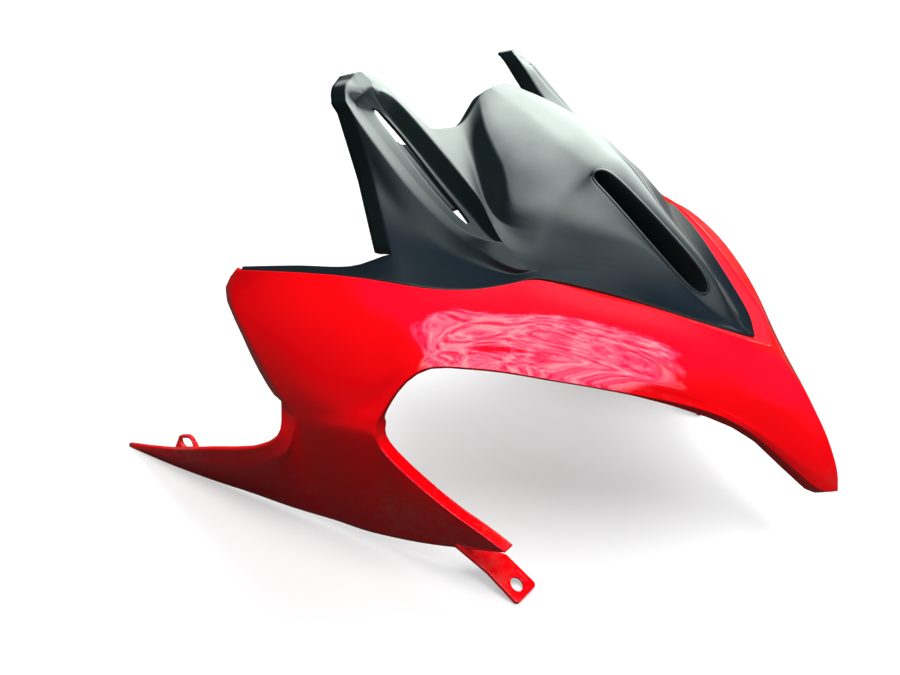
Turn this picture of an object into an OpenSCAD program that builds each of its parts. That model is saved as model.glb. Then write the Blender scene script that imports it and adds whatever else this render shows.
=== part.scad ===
// Front fairing of a motorcycle: a painted cowl with a black screen panel set into its top.
// +X points forward, +Y to the rider's left, +Z up. It stands on its two tabs and two arm tips.

/* [Shell] */
// Wall thickness of the painted cowl
cowl_wall = 3; // [2.4:0.1:3.6]
// Wall thickness of the black panel
panel_wall = 2.8; // [2.4:0.1:3.4]
// Gap between the panel and the ledge that it lies on
ledge_gap = 0.6; // [0.2:0.1:0.8]
// Depth of the return wall behind each blade
blade_return = 14; // [8:1:18]
// Depth of the return wall behind the hood
hood_return = 6; // [4:1:10]

/* [Fixing tabs] */
// Bore of the hole in each lower tab
tab_bore = 9.6; // [8:0.2:10.4]
// Width of each tab at its free end
tab_w = 22; // [20:1:24]
// Thickness of each tab
tab_t = 3; // [2.5:0.5:4]
// Downward slope of each tab
tab_slope = 32; // [24:1:40]
// Depth of the sunk seat round the bore
seat_depth = 1; // [0.5:0.5:1.5]
// Width of the oblong eye in each ear
ear_bore = 8; // [6:0.5:9]
// Thickness of each ear
ear_t = 3; // [2:0.5:4]

/* [Vents and slots] */
// Depth of the duct wall behind each vent
vent_depth = 18; // [10:1:24]
// Wall thickness of the duct
duct_wall = 1.6; // [1.2:0.2:2]
// Depth of the trough in each blade
trough_depth = 11; // [8:1:15]
// Ridges on each bar
bar_ridges = 4; // [2:1:6]
// Height of each ridge
ridge_h = 0.8; // [0.4:0.2:1.2]
// Thickness of the bar
bar_t = 4; // [3:0.5:6]
// Gap between the bar and the trough's floor
bar_gap = 0.3; // [0.2:0.1:0.6]

/* [Hidden] */

// The walls are measured towards one point behind the fairing
focus = [-20, 0, 80];
// The part's own origin, on the ground that it stands on, as the rails below measure it
origin = [78, 0, 6];

// Panel outline from its front tip, round the kink, to the rear corner of the wing
panel_border = [[260, 0, 158], [250, 15, 165], [234, 31, 173], [213, 50, 183], [185, 75, 195],
    [157, 98, 203], [146, 111, 201], [133, 127, 199], [120, 139, 199], [106, 149, 200],
    [92, 157, 202], [66, 169, 204], [33, 183, 203], [0, 198, 201]];
// Spine of the panel, from the tip to the rear rim of the hood
panel_spine = [[260, 0, 158], [250, 0, 163], [238, 0, 175], [219, 0, 197], [192, 0, 220],
    [165, 0, 244], [146, 0, 259], [126, 0, 272], [106, 0, 282], [82, 0, 291], [58, 0, 297]];
// Inner and outer side of the vent on the panel's nose
vent_inner = [[260, 0, 158], [250, 2, 162], [239, 3, 174], [220, 4, 196], [191, 6, 221]];
vent_outer = [[260, 0, 158], [250, 5, 161], [236, 10, 171], [215, 13, 187], [186, 15, 211]];
// From the kink back: one list a row, from the spine to the border
panel_rows = [
    [[165, 0, 244], [160, 12, 247], [154, 21, 240], [153, 55, 228], [152, 70, 219], [152, 77, 215],
        [153, 83, 212], [155, 88, 209], [156, 91, 207], [157, 94, 206], [157, 96, 205],
        [157, 98, 203]],
    [[146, 0, 259], [144, 15, 257], [140, 32, 251], [138, 68, 235], [138, 80, 224], [138, 88, 218],
        [140, 94, 216], [144, 101, 211], [144, 104, 208], [145, 107, 205], [146, 109, 204],
        [146, 111, 201]],
    [[126, 0, 272], [125, 16, 270], [123, 36, 263], [121, 76, 238], [119, 85, 227], [119, 90, 226],
        [121, 95, 229], [127, 107, 220], [125, 110, 215], [128, 118, 210], [131, 124, 206],
        [133, 127, 199]],
    [[106, 0, 282], [105, 15, 280], [104, 32, 274], [104, 60, 256], [99, 76, 234], [102, 84, 238],
        [105, 91, 243], [101, 107, 227], [98, 113, 227], [107, 126, 217], [115, 135, 210],
        [120, 139, 199]],
    [[82, 0, 291], [81, 12, 289], [80, 25, 285], [81, 43, 275], [78, 63, 257], [80, 76, 259],
        [82, 87, 258], [68, 107, 248], [66, 115, 250], [83, 131, 231], [98, 144, 215],
        [106, 149, 200]],
    [[58, 0, 297], [57, 9, 296], [56, 14, 294], [54, 22, 290], [57, 48, 274], [52, 72, 275],
        [54, 84, 278], [30, 107, 279], [21, 114, 289], [49, 127, 252], [84, 151, 217],
        [92, 157, 202]]];
// The blade above the rear rim: inner edge, trough rims and outer edge, up to the rounded top
blade_rows = [
    [[33, 77, 290], [37, 84.5, 291], [16, 106, 292], [13, 111, 297]],
    [[18, 81.5, 303], [25, 88, 300], [16, 102, 299], [8, 105, 303]],
    [[7, 87, 309], [7, 90, 310], [5, 94, 309], [5, 98, 306]]];
// Upper edge of the thin tail that runs back along the wing
tail_edge = [[60, 161, 207], [29, 177, 205], [-3, 194, 202]];

// Painted cowl, seven rails from its top lip down to its lower edge, nose to wing corner
cowl_lip = [[271, 0, 154], [260, 20, 163], [246, 33, 170], [218, 56, 183], [190, 80, 193],
    [159, 100, 203], [148, 113, 202], [135, 129, 200], [122, 141, 200], [108, 151, 201],
    [94, 159, 203], [68, 171, 205], [34, 185, 204], [0, 200, 202]];
cowl_rail_1 = [[283, 0, 144], [274, 19, 144], [256, 37, 157], [231, 62, 173], [195, 94, 188],
    [164, 113, 197], [152, 124, 196], [138, 138, 195], [125, 151, 193], [110, 162, 191],
    [96, 171, 190], [70, 182, 191], [32, 195, 188], [-7, 204, 182]];
cowl_rail_2 = [[295, 0, 132], [288, 18, 128], [265, 39, 141], [239, 65, 161], [203, 99, 177],
    [172, 122, 187], [158, 132, 187], [142, 146, 186], [128, 158, 183], [113, 170, 180],
    [100, 178, 177], [76, 190, 176], [42, 202, 168], [13, 207, 157]];
cowl_rail_3 = [[306, 0, 117], [298, 16, 113], [272, 39, 127], [246, 66, 148], [209, 100, 164],
    [175, 126, 175], [160, 138, 177], [143, 150, 177], [129, 163, 177], [115, 175, 172],
    [104, 182, 166], [85, 194, 160], [58, 205, 146], [33, 207, 132]];
cowl_rail_4 = [[316, 0, 102], [307, 15, 97], [277, 38, 117], [251, 65, 139], [214, 100, 157],
    [179, 130, 169], [162, 143, 172], [145, 154, 172], [130, 167, 172], [117, 178, 166],
    [108, 185, 156], [94, 194, 147], [72, 204, 134], [48, 205, 117]];
cowl_rail_5 = [[325.5, 0, 82], [315, 13, 82], [281, 36, 112], [255, 62, 134], [218, 99, 151],
    [182, 133, 164], [164, 146, 168], [146, 157, 168], [130, 170, 168], [119, 180, 161],
    [111, 186, 149], [102, 192, 138], [92, 199, 129], [80, 203, 120]];
cowl_edge = [[329, 0, 67], [316.5, 12.5, 71.5], [283, 34, 106], [259, 60, 129], [222, 97, 145],
    [185, 135, 159], [165, 149, 163], [147, 160, 164], [130, 172, 164], [120, 182, 156],
    [113, 189, 142], [109, 194, 131], [108, 195, 126], [108, 196, 121]];
// Lower arm: the crease above it behind the neck, its front edge, and its bottom edge
arm_crease = [[-171, 205.5, 6], [-108, 206, 24], [-50, 206, 45.5], [-1, 206, 63], [31, 206, 80],
    [43, 206, 96], [48, 205, 117]];
arm_front = [[108, 196, 121], [109, 195, 114], [117, 192, 104], [130, 184, 88], [148, 176, 72],
    [168, 169, 60], [182, 164, 50]];
arm_bottom = [[-171, 205.5, 6], [-119.5, 200, 6.5], [-75, 193, 7], [-35, 186, 8.5], [5, 180, 10],
    [42, 174, 13], [68, 171, 15], [92, 168, 19], [118, 165, 25], [144, 161, 32], [164, 161, 40],
    [182, 164, 50]];
// Return flanges: the step from the crease to the free edge, as points along each edge
lower_step = [[-3, 0, -1], [-6, -2, -5], [-4, -3, -5], [-3, -2, -6], [0, -2, -2], [0, -2, -2],
    [0, -2, -2], [0, -2, -2], [0, -2, -2], [0, -2, -2], [0, -3, -1], [0, -5, 0], [0, -6, 0],
    [0, -6, 0]];
rear_step = [[-2, -1, 2], [-2, -4, 8], [-3, -6, 12], [-12, -7, 14], [-19, -5, 3], [-17, -4, 1],
    [-12, -4, 0], [-9, -4, 0], [-4, -3, 0]];

// Smooth curve through the points of a list, t from 0 to its last index
function curve_at(p, t) =
    let (n = len(p) - 1, i = max(0, min(floor(t), n - 1)), f = t - i, b = p[i], c = p[i + 1],
        a = i > 0 ? p[i - 1] : 2 * b - c, d = i < n - 1 ? p[i + 2] : 2 * c - b)
    b + f / 2 * (c - a + f * (2 * a - 5 * b + 4 * c - d + f * (3 * (b - c) + d - a)));
function curve(p, steps) = [for (k = [0 : steps]) curve_at(p, k * (len(p) - 1) / steps)];
function unit(v) = v / norm(v);
function on_middle(p, q) = [q[0], p[1] == 0 ? 0 : q[1], q[2]];
function inward(p, t) = p - t * unit(p - focus);

// Panel stations: 0 tip, 5 kink, 10 rear rim, 13 blade top and end of the tail
function front_row(u) =
    let (a = curve_at(panel_spine, u), b = curve_at(vent_inner, u), c = curve_at(vent_outer, u),
        d = curve_at(panel_border, u))
    concat([a, b, c], [for (k = [1 : 9]) c + (d - c) * k / 9]);
front_rows = [for (u = [0 : 4]) front_row(u)];
body_rows = concat(front_rows, panel_rows);
function rail(r) = [for (row = body_rows) row[r]];
function blade_rail(r) = concat(rail(r + 5), [for (row = blade_rows) row[r]]);
rails = [for (r = [0 : 11]) r > 4 && r < 9 ? blade_rail(r - 5)
    : r == 10 ? concat(rail(10), tail_edge)
    : r == 11 ? panel_border
    : r == 9 ? concat(rail(9), [for (k = [0 : 2]) (blade_rows[k][3] + tail_edge[k]) / 2])
    : concat(rail(r), [for (k = [1 : 3]) rail(r)[10] - [k, 0, 0]])];
function across(u) = [for (p = rails) curve_at(p, u)];

// Half width of an oblong opening at station u, as a share of its column
function oblong(u, from, to) =
    let (h = (to - from) / 2, s = min(1, abs(u - from - h) / h))
    sqrt(max(0.16, 1 - pow(s, 6)));
// Width and depth of the trough at station u, as a share of its full size: both its ends are round
function trough_width(u) =
    let (s = u < 8 ? (8 - u) / 1.25 : u > 11.6 ? (u - 11.6) / 0.75 : 0) sqrt(max(0, 1 - pow(s, 2)));
slot_place = [0.43, 0.36, 0.29, 0.3, 0.34];
vent_span = [2.55, 5.6];
slot_span = [8, 12];

panel_u = [0, 0.4, 0.8, 1.2, 1.6, 2, 2.3, 2.55, 2.7, 2.95, 3.3, 3.7, 4.1, 4.5, 4.8, 5, 5.2, 5.4, 5.6,
    6, 6.3, 6.6, 6.9, 7.2, 7.5, 7.8, 8, 8.12, 8.4, 8.8, 9.2, 9.6, 10, 10.4, 10.8, 11.2, 11.6, 11.88,
    12, 12.3, 12.7, 13];
function panel_row(u) =
    let (b = across(u), e = 0.5 * oblong(u, vent_span[0], vent_span[1]),
        g = trough_width(u), rim = (b[7] - b[6]) * (1 - max(0.05, g)) / 2, inner = b[6] + rim,
        outer = b[7] - rim, d = trough_depth * g, low = inner + (outer - inner) * 0.2 - [0, 0, d],
        high = outer - [0, 0, d * 0.2],
        slot = 0.18 * oblong(u, slot_span[0], slot_span[1]), mid = curve_at(slot_place, u - slot_span[0]))
    [b[0], curve_at(b, 1.5 - e), curve_at(b, 1.5 + e), curve_at(b, 2.35), curve_at(b, 2.7), b[3],
        curve_at(b, 3.5), b[4], b[5], inner, low, low + (high - low) * (mid - slot),
        low + (high - low) * (mid + slot), high, outer, b[8], curve_at(b, 8.5), b[9],
        curve_at(b, 9.5), b[10], b[11]];
panel_grid = [for (u = panel_u) panel_row(u)];
last_u = len(panel_u) - 1;
rim_i = search(10, panel_u)[0];
vent_from = search(vent_span[0], panel_u)[0];
vent_to = search(vent_span[1], panel_u)[0];
function vent_cell(i, j) = j == 1 && i >= vent_from && i < vent_to;
function panel_cell(i, j) =
    i >= 0 && j >= 0 && i < last_u && j < 20
    && (i < rim_i || (j > 7 && j < 15) || j == 19)
    && !vent_cell(i, j)
    && !(j == 11 && panel_u[i] >= slot_span[0] && panel_u[i] < slot_span[1]);

// One skin patch: a grid of outer points and a grid of inner points, closed round its edges
function patch_points(outer, inner) = concat([for (r = outer) each r], [for (r = inner) each r]);
function patch_faces(rows, cols, cell, walled) =
    let (k = rows * cols)
    [for (i = [0 : rows - 2]) for (j = [0 : cols - 2]) if (cell(i, j))
        let (a = i * cols + j, b = a + 1, c = a + cols + 1, d = a + cols)
        each concat([[a, c, b], [a, d, c], [k + a, k + b, k + c], [k + a, k + c, k + d]],
            !cell(i - 1, j) && walled(0, i, j) ? [[a, b, k + a], [b, k + b, k + a]] : [],
            !cell(i + 1, j) && walled(1, i, j) ? [[c, d, k + c], [d, k + d, k + c]] : [],
            !cell(i, j - 1) && walled(2, i, j) ? [[d, a, k + d], [a, k + a, k + d]] : [],
            !cell(i, j + 1) && walled(3, i, j) ? [[b, c, k + b], [c, k + c, k + b]] : [])];
function flip(p) = [p[0], p[1] == 0 ? 0 : -p[1], p[2]];
function shift(faces, n) = [for (f = faces) [for (q = f) q + n]];
function turned(faces) = [for (f = faces) [f[0], f[2], f[1]]];
function offsets(sets, i = 0, n = 0) =
    i == len(sets) ? [] : concat([n], offsets(sets, i + 1, n + len(sets[i])));

// A part symmetric about y = 0, from the patches of one half
module both_halves(points, faces) {
    starts = offsets(points);
    half = [for (s = points) each s];
    skin = [for (k = [0 : len(points) - 1]) each shift(faces[k], starts[k])];
    polyhedron(concat(half, [for (p = half) flip(p)]),
        concat(skin, turned(shift(skin, len(half)))));
}

panel_inner = [for (row = panel_grid) [for (p = row) inward(p, panel_wall)]];
// Rear boundary of the panel, from the tail, round the blade, to the middle of the hood
return_path = concat([for (j = [19 : -1 : 15]) [rim_i, j]],
    [for (i = [rim_i + 1 : last_u]) [i, 15]], [for (j = [14 : -1 : 8]) [last_u, j]],
    [for (i = [last_u - 1 : -1 : rim_i]) [i, 8]], [for (j = [7 : -1 : 0]) [rim_i, j]]);
function return_step(q) =
    q[1] < 8 ? [-hood_return, 0, -3]
    : q[0] == rim_i && q[1] == 8 ? [-(hood_return + blade_return) / 2, 0, -3]
    : q[0] == rim_i && q[1] == 19 ? [-6, 0, -3]
    : [-blade_return, 0, -3];
function return_inset(q) =
    q[1] < 8 ? [-1, 0, -panel_wall]
    : q[0] == last_u && q[1] > 8 && q[1] < 15 ? [0, 0, -panel_wall]
    : q[1] == 8 ? [0, panel_wall, -1]
    : [0, -panel_wall, -1];
return_outer = [for (q = return_path) let (p = panel_grid[q[0]][q[1]]) [p, p + return_step(q)]];
return_inner = [for (q = return_path)
    [panel_inner[q[0]][q[1]], panel_grid[q[0]][q[1]] + return_step(q) + return_inset(q)]];

// Duct behind each vent: round the opening, then inwards and back along its outer side
vent_loop = concat([for (i = [vent_from : vent_to]) [i, 1]],
    [for (i = [vent_to : -1 : vent_from]) [i, 2]], [[vent_from, 1]]);
duct_sheet = [for (q = vent_loop)
    let (p = panel_grid[q[0]][q[1]], i = max(vent_from + 1, min(vent_to - 1, q[0])),
        middle = (panel_grid[i][1] + panel_grid[i][2]) / 2, inset = duct_wall * unit(middle - p))
    [p, inward(p + inset, vent_depth), inward(p, vent_depth), panel_inner[q[0]][q[1]]]];
function sheet_faces(rows, cols) =
    [for (i = [0 : rows - 2]) for (j = [0 : cols - 2])
        let (a = i * cols + j, b = a + 1, c = a + cols + 1, d = a + cols) each [[a, c, b], [a, d, c]]];

module screen_panel() {
    step_i = [-1, 1, 0, 0];
    step_j = [0, 0, -1, 1];
    panel_side = function (side, i, j)
        vent_cell(i + step_i[side], j + step_j[side]) ? false
        : side == 2 ? !(j == 0 || (j == 8 && i >= rim_i))
        : side == 3 ? !(j == 14 && i >= rim_i)
        : side == 1 ? !((i == rim_i - 1 && j < 19) || (i == last_u - 1 && j < 19))
        : true;
    return_cell = function (i, j) i >= 0 && i < len(return_path) - 1 && j == 0;
    return_side = function (side, i, j) side == 3 || (side == 0 && i == 0);
    color("#23272a")
    placed()
    both_halves(
        [patch_points(panel_grid, panel_inner), patch_points(return_outer, return_inner),
            [for (r = duct_sheet) each r]],
        [patch_faces(len(panel_u), 21, function (i, j) panel_cell(i, j), panel_side),
            patch_faces(len(return_path), 2, return_cell, return_side),
            sheet_faces(len(vent_loop), 4)]);
}

// Cowl skin: a ledge under the panel, then the rails from the lip to the lower edge
ledge_share = 0.6;
cowl_rails = [cowl_lip, cowl_rail_1, cowl_rail_2, cowl_rail_3, cowl_rail_4, cowl_rail_5, cowl_edge];
cowl_u = [for (k = [0 : 39]) k / 3];
cowl_v = [0, 0.3, 0.7, 1.2, 1.7, 2.2, 2.7, 3.3, 4, 4.33, 4.67, 5, 5.33, 5.67, 6];
seam_j = 2 + search(4, cowl_v)[0];
function cowl_row(u) =
    let (b = across(u), r = [for (p = cowl_rails) curve_at(p, u)], t = panel_wall + ledge_gap,
        ledge = b[11] + ledge_share * (b[10] - b[11]))
    concat([inward(ledge, t), inward(b[11], t)], [for (v = cowl_v) curve_at(r, v)]);
cowl_grid = [for (u = cowl_u) cowl_row(u)];
cowl_last = len(cowl_u) - 1;
cowl_cols = len(cowl_v) + 2;
seam = [for (j = [seam_j : cowl_cols - 1]) cowl_grid[cowl_last][j]];
arm_top = concat(curve(arm_crease, 16), [for (k = [1 : len(seam) - 1]) seam[k]],
    [for (k = [1 : 12]) curve(arm_front, 12)[k]]);
arm_n = len(arm_top);
seam_from = 16;
seam_to = 16 + len(seam) - 1;
arm_low = curve(arm_bottom, arm_n - 1);
// The arm is fullest just below its crease and draws in to its bottom edge
arm_v = [0, 0.25, 0.5, 0.75, 1];
function arm_row(v) = [for (i = [0 : arm_n - 1])
    arm_top[i] + (arm_low[i] - arm_top[i]) * v + [0, 14 * v * (1 - v) * sin(180 * i / (arm_n - 1)), 0]];
arm_grid = [for (v = arm_v) arm_row(v)];
function skin_inside(grid) = [for (row = grid) [for (p = row) inward(p, cowl_wall)]];

// Return flanges along the lower edge (nose to arm tip) and the rear edge (arm tip to wing corner)
lower_crease = concat([for (row = cowl_grid) row[cowl_cols - 1]],
    [for (i = [seam_to + 1 : arm_n - 1]) arm_top[i]]);
lower_free = [for (i = [0 : len(lower_crease) - 1])
    lower_crease[i] + curve_at(lower_step, min(13, cowl_u[min(i, cowl_last)]))];
rear_crease = concat([for (i = [0 : seam_from]) arm_top[i]],
    [for (j = [seam_j - 1 : -1 : 2]) cowl_grid[cowl_last][j]]);
rear_free = [for (i = [0 : len(rear_crease) - 1])
    rear_crease[i] + curve_at(rear_step, i < seam_from ? i / 4
        : 4 + 4 * (i - seam_from) / (len(rear_crease) - 1 - seam_from))];
// The inner side of a flange, stepped off square to its edge and to its own face
function flange_inside(crease, free) = [for (i = [0 : len(crease) - 1])
    let (a = crease[max(0, i - 1)], b = crease[min(len(crease) - 1, i + 1)])
    [inward(crease[i], cowl_wall), on_middle(crease[i],
        free[i] + cowl_wall * 0.9 * unit(cross(b - a, free[i] - crease[i])))]];
function pairs(crease, free) = [for (i = [0 : len(crease) - 1]) [crease[i], free[i]]];

// Tab under each arm: a sloping plate with a sunk seat round its bore, seen on the near side
module tab() {
    end_x = 9;
    corner = 3;
    side = tab_w / 2 - corner;
    rise = end_x * sin(tab_slope) + tab_t / 2 * cos(tab_slope);
    translate([180.8, -147, origin[2] + rise])
        rotate([0, tab_slope, 0])
        difference() {
            translate([0, 0, -tab_t / 2])
                linear_extrude(tab_t)
                difference() {
                    union() {
                        polygon([[end_x - corner, -tab_w / 2], [end_x - corner, tab_w / 2], [-18, 9],
                            [-34, -3], [-56, -14], [-56, -24], [-40, -14.5], [-18, -12]]);
                        for (y = [-side, side]) translate([end_x - corner, y]) circle(corner, $fn = 32);
                        translate([0, -side]) square([end_x, 2 * side]);
                    }
                    circle(d = tab_bore, $fn = 64);
                }
            translate([-7, -7, tab_t / 2 - seat_depth])
                cube([11.5, 14, tab_t]);
        }
}

// Loop on the arm's top edge that guides a cable: a flat plate with an oblong eye
module ear() {
    translate([-89.6, -199.8, 39.6])
        rotate([90, -22, 0])
        linear_extrude(ear_t, center = true)
        difference() {
            union() {
                for (x = [-4.5, 4.5]) translate([x, 0]) circle(ear_bore / 2 + 2.5, $fn = 48);
                translate([-4.5, 0]) square([9, ear_bore / 2 + 2.5]);
                polygon([[-19, -9], [-19, -2.5], [-8, 6], [0, 0], [12, 0], [12, -9]]);
            }
            for (x = [-4.5, 4.5]) translate([x, 0]) circle(d = ear_bore, $fn = 48);
            translate([-4.5, -ear_bore / 2]) square([9, ear_bore]);
        }
}

module placed() {
    translate(-origin) children();
}
module mirrored() {
    children();
    mirror([0, 1, 0]) children();
}

module nose_cowl() {
    whole = function (rows, cols) function (i, j) i >= 0 && j >= 0 && i < rows - 1 && j < cols - 1;
    skin_side = function (side, i, j) side == 1 ? j < 2 : side == 2;
    arm_side = function (side, i, j) side == 1;
    lower_side = function (side, i, j) side == 1 || side == 3;
    rear_side = function (side, i, j) side != 2;
    lower_n = len(lower_crease);
    rear_n = len(rear_crease);
    color("#d4060c")
    placed()
    union() {
        mirrored() tab();
        mirrored() ear();
        both_halves(
        [patch_points(cowl_grid, skin_inside(cowl_grid)),
            patch_points(arm_grid, skin_inside(arm_grid)),
            patch_points(pairs(lower_crease, lower_free), flange_inside(lower_crease, lower_free)),
            patch_points(pairs(rear_crease, rear_free), flange_inside(rear_crease, rear_free))],
        [patch_faces(len(cowl_u), cowl_cols, whole(len(cowl_u), cowl_cols), skin_side),
            patch_faces(len(arm_v), arm_n, whole(len(arm_v), arm_n), arm_side),
            patch_faces(lower_n, 2, whole(lower_n, 2), lower_side),
            patch_faces(rear_n, 2, whole(rear_n, 2), rear_side)]);
    }
}

// Ridged bar behind the middle of a slot, seen on the far side
bar_u = [8.5, 8.8, 9.1, 9.4, 9.7, 10.05];
bar_cols = 4 * bar_ridges + 1;
function bar_row(u) =
    let (r = panel_row(u), low = r[10], high = r[13])
    [for (k = [0 : bar_cols - 1]) low + (high - low) * (0.05 + 0.9 * k / (bar_cols - 1))];
function bar_side(depth) = [for (u = bar_u)
    let (row = bar_row(u)) [for (k = [0 : bar_cols - 1]) inward(row[k], depth(k))]];

module slot_rail() {
    seat = panel_wall + bar_gap;
    top = bar_side(function (k) seat + (k % 4 == 1 || k % 4 == 2 ? 0 : ridge_h));
    back = bar_side(function (k) seat + bar_t);
    rows = len(bar_u);
    color("#17191b")
    placed()
    polyhedron(patch_points(top, back), patch_faces(rows, bar_cols,
        function (i, j) i >= 0 && j >= 0 && i < rows - 1 && j < bar_cols - 1, function (side, i, j) true));
}
module slot_rail_left() slot_rail();
module slot_rail_right() mirror([0, 1, 0]) slot_rail();

nose_cowl();
screen_panel();
slot_rail_left();
slot_rail_right();
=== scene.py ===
import math
import bmesh
import bpy
from mathutils import Euler, Matrix, Vector


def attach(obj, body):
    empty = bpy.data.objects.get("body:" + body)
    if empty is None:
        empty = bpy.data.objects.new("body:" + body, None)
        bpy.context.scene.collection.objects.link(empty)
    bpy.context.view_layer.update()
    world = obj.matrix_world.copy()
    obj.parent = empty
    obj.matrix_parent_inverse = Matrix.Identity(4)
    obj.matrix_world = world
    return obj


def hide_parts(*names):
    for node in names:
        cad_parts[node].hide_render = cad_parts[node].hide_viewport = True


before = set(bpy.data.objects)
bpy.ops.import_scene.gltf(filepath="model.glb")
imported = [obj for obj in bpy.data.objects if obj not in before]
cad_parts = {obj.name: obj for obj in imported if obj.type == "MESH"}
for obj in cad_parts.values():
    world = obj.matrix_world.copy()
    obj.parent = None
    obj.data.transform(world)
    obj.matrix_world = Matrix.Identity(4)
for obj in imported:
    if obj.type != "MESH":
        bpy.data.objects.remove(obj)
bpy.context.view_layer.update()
print("frame loaded")


def srgb(hexCode):
    parts = [int(hexCode[i:i + 2], 16) / 255 for i in (1, 3, 5)]
    return [c / 12.92 if c <= 0.04045 else ((c + 0.055) / 1.055) ** 2.4 for c in parts] + [1.0]


def perMetre(sizeMm):
    return 1000 / sizeMm


def addNode(tree, kind, settings=None, links=None):
    node = tree.nodes.new(kind)
    for key, value in (settings or {}).items():
        if isinstance(key, str) and hasattr(node, key):
            setattr(node, key, value)
        else:
            node.inputs[key].default_value = value
    for key, source in (links or {}).items():
        tree.links.new(source, node.inputs[key])
    return node


def newMaterial(name):
    material = bpy.data.materials.new(name)
    material.use_nodes = True
    material.node_tree.nodes.clear()
    return material, material.node_tree


def addObject(name, data):
    made = bpy.data.objects.new(name, data)
    bpy.context.scene.collection.objects.link(made)
    return made


# Injection-moulded ABS with a two-stage paint: red base coat that reads flat and pure, under a hard clear coat
paint = {
    "red": "#ee000a",
    "roughness": 0.5,
    "specular": 0.1,
    "coatRoughness": 0.03,
    "peelMm": 8.0,  # long waves of the clear coat; its finer orange peel is too small to show
    "peelStrength": 0.012,
    "peelDepth": 0.0005,
    "scuff": "#a86a64",
    "scuffMm": 9.0,
    "scuffRange": (0.27, 0.42),
    "scuffShare": 0.32,
    "dustMm": 70.0,
    "scratchMm": 14.0,
    "scratchStretch": (3, 60),  # long one way and thin the other
    "scratchTurns": (35, -50),
    "scratchLevel": 0.56,
    "scratchWidth": 0.0022,
    "scratchShare": 0.3,
    "wearHeights": (0.085, 0.04),  # metres above the ground: where wear starts, and where it is full
}


def makePaint():
    material, tree = newMaterial("clearCoatedRedAbs")
    onPiece = addNode(tree, "ShaderNodeTexCoord").outputs["Object"]
    peel = addNode(tree, "ShaderNodeTexNoise", {"Scale": perMetre(paint["peelMm"]), "Detail": 1.0}, {"Vector": onPiece})
    bump = addNode(tree, "ShaderNodeBump", {"Strength": paint["peelStrength"], "Distance": paint["peelDepth"]},
                   {"Height": peel.outputs[0]})
    # Dust and rubbing on the lower arms, and fine scratches that run two ways
    place = addNode(tree, "ShaderNodeSeparateXYZ", {}, {0: onPiece})
    start, full = paint["wearHeights"]
    low = addNode(tree, "ShaderNodeMapRange", {"From Min": start, "From Max": full}, {"Value": place.outputs[2]})
    rubbed = addNode(tree, "ShaderNodeTexNoise",
                     {"Scale": perMetre(paint["scuffMm"]), "Detail": 8.0, "Roughness": 0.75}, {"Vector": onPiece})
    dusty = addNode(tree, "ShaderNodeTexNoise", {"Scale": perMetre(paint["dustMm"]), "Detail": 1.0},
                    {"Vector": onPiece})
    both = addNode(tree, "ShaderNodeMath", {"operation": "MULTIPLY"}, {0: rubbed.outputs[0], 1: dusty.outputs[0]})
    least, most = paint["scuffRange"]
    marks = addNode(tree, "ShaderNodeMapRange", {"From Min": least, "From Max": most, "To Max": paint["scuffShare"]},
                    {"Value": both.outputs[0]})
    stretch = (*paint["scratchStretch"], perMetre(paint["scratchMm"]))
    for turn in paint["scratchTurns"]:
        run = addNode(tree, "ShaderNodeMapping", {"Rotation": (0, math.radians(turn), 0), "Scale": stretch},
                      {"Vector": onPiece})
        streak = addNode(tree, "ShaderNodeTexNoise", {"Scale": 1.0, "Detail": 1.5}, {"Vector": run.outputs[0]})
        line = addNode(tree, "ShaderNodeMath",
                       {"operation": "COMPARE", 1: paint["scratchLevel"], 2: paint["scratchWidth"]},
                       {0: streak.outputs[0]})
        faint = addNode(tree, "ShaderNodeMath", {"operation": "MULTIPLY", 1: paint["scratchShare"]},
                        {0: line.outputs[0]})
        marks = addNode(tree, "ShaderNodeMath", {"operation": "MAXIMUM"}, {0: marks.outputs[0], 1: faint.outputs[0]})
    worn = addNode(tree, "ShaderNodeMath", {"operation": "MULTIPLY"}, {0: marks.outputs[0], 1: low.outputs[0]})
    tone = addNode(tree, "ShaderNodeMix", {"data_type": "RGBA", 6: srgb(paint["red"]), 7: srgb(paint["scuff"])},
                   {0: worn.outputs[0]})
    shader = addNode(tree, "ShaderNodeBsdfPrincipled", {
        "Roughness": paint["roughness"], "Specular IOR Level": paint["specular"],
        "Coat Weight": 1.0, "Coat Roughness": paint["coatRoughness"],
    }, {"Base Color": tone.outputs[2], "Coat Normal": bump.outputs[0]})
    addNode(tree, "ShaderNodeOutputMaterial", {}, {"Surface": shader.outputs[0]})
    return material


# Moulded ABS, spark-eroded grain: near black, with a painted highlight of light grey-green on the faces that turn
# upwards towards the light
plastic = {
    "base": "#0e1618",
    "paintedLitTone": "#a3aca8",
    "roughness": 0.42,
    "specular": 0.35,
    "mirrorTint": "#f0fbc8",
    "grainMm": 0.9,  # the real grain is near 0.3 mm, drawn coarser so that it shows
    "grainStrength": 0.12,
    "grainDepth": 0.0004,
    "mottleMm": 25,
    "mottleShare": 0.12,
    "paintedLightWay": (0.22, 0.22, 0.95),
    "paintedLightRange": (0.55, 1.05),
    "ledgeSlope": 0.28,  # the ledge falls this much for each unit forward
    "paintedLightHeights": (213, 282),  # millimetres, with that slope taken out
}


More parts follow.
